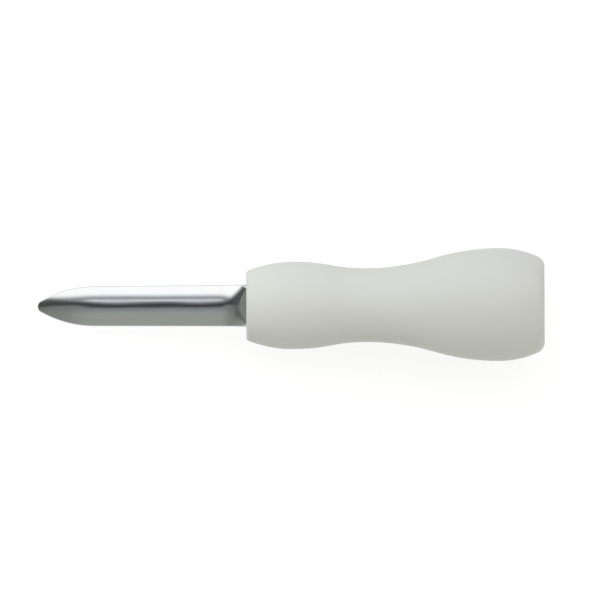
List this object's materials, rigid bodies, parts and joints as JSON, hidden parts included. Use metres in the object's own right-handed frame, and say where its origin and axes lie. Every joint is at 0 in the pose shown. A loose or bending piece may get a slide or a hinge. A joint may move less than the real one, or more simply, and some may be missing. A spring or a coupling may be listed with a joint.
{
  "type": "oyster knife",
  "caption": "Short stiff blade with a rounded spear point and blunt edges, in a stout moulded handle with a narrow waist and a broad flat butt.",
  "frame": {"origin": "centre of the handle's flat butt, on the knife's long axis", "axes": "+X along the long axis, out of the butt and away from the blade; +Z square to the blade's broad faces; +Y towards one of its edges"},
  "size_m": [0.1876, 0.0418, 0.0418],
  "materials": {
    "blade": "ground and polished stainless steel with a fine lengthwise grain",
    "handle": "off-white moulded polypropylene with a fine matte surface"
  },
  "bodies": {
    "root": {"blade": "blade", "handle": "handle"}
  },
  "joints": []
}
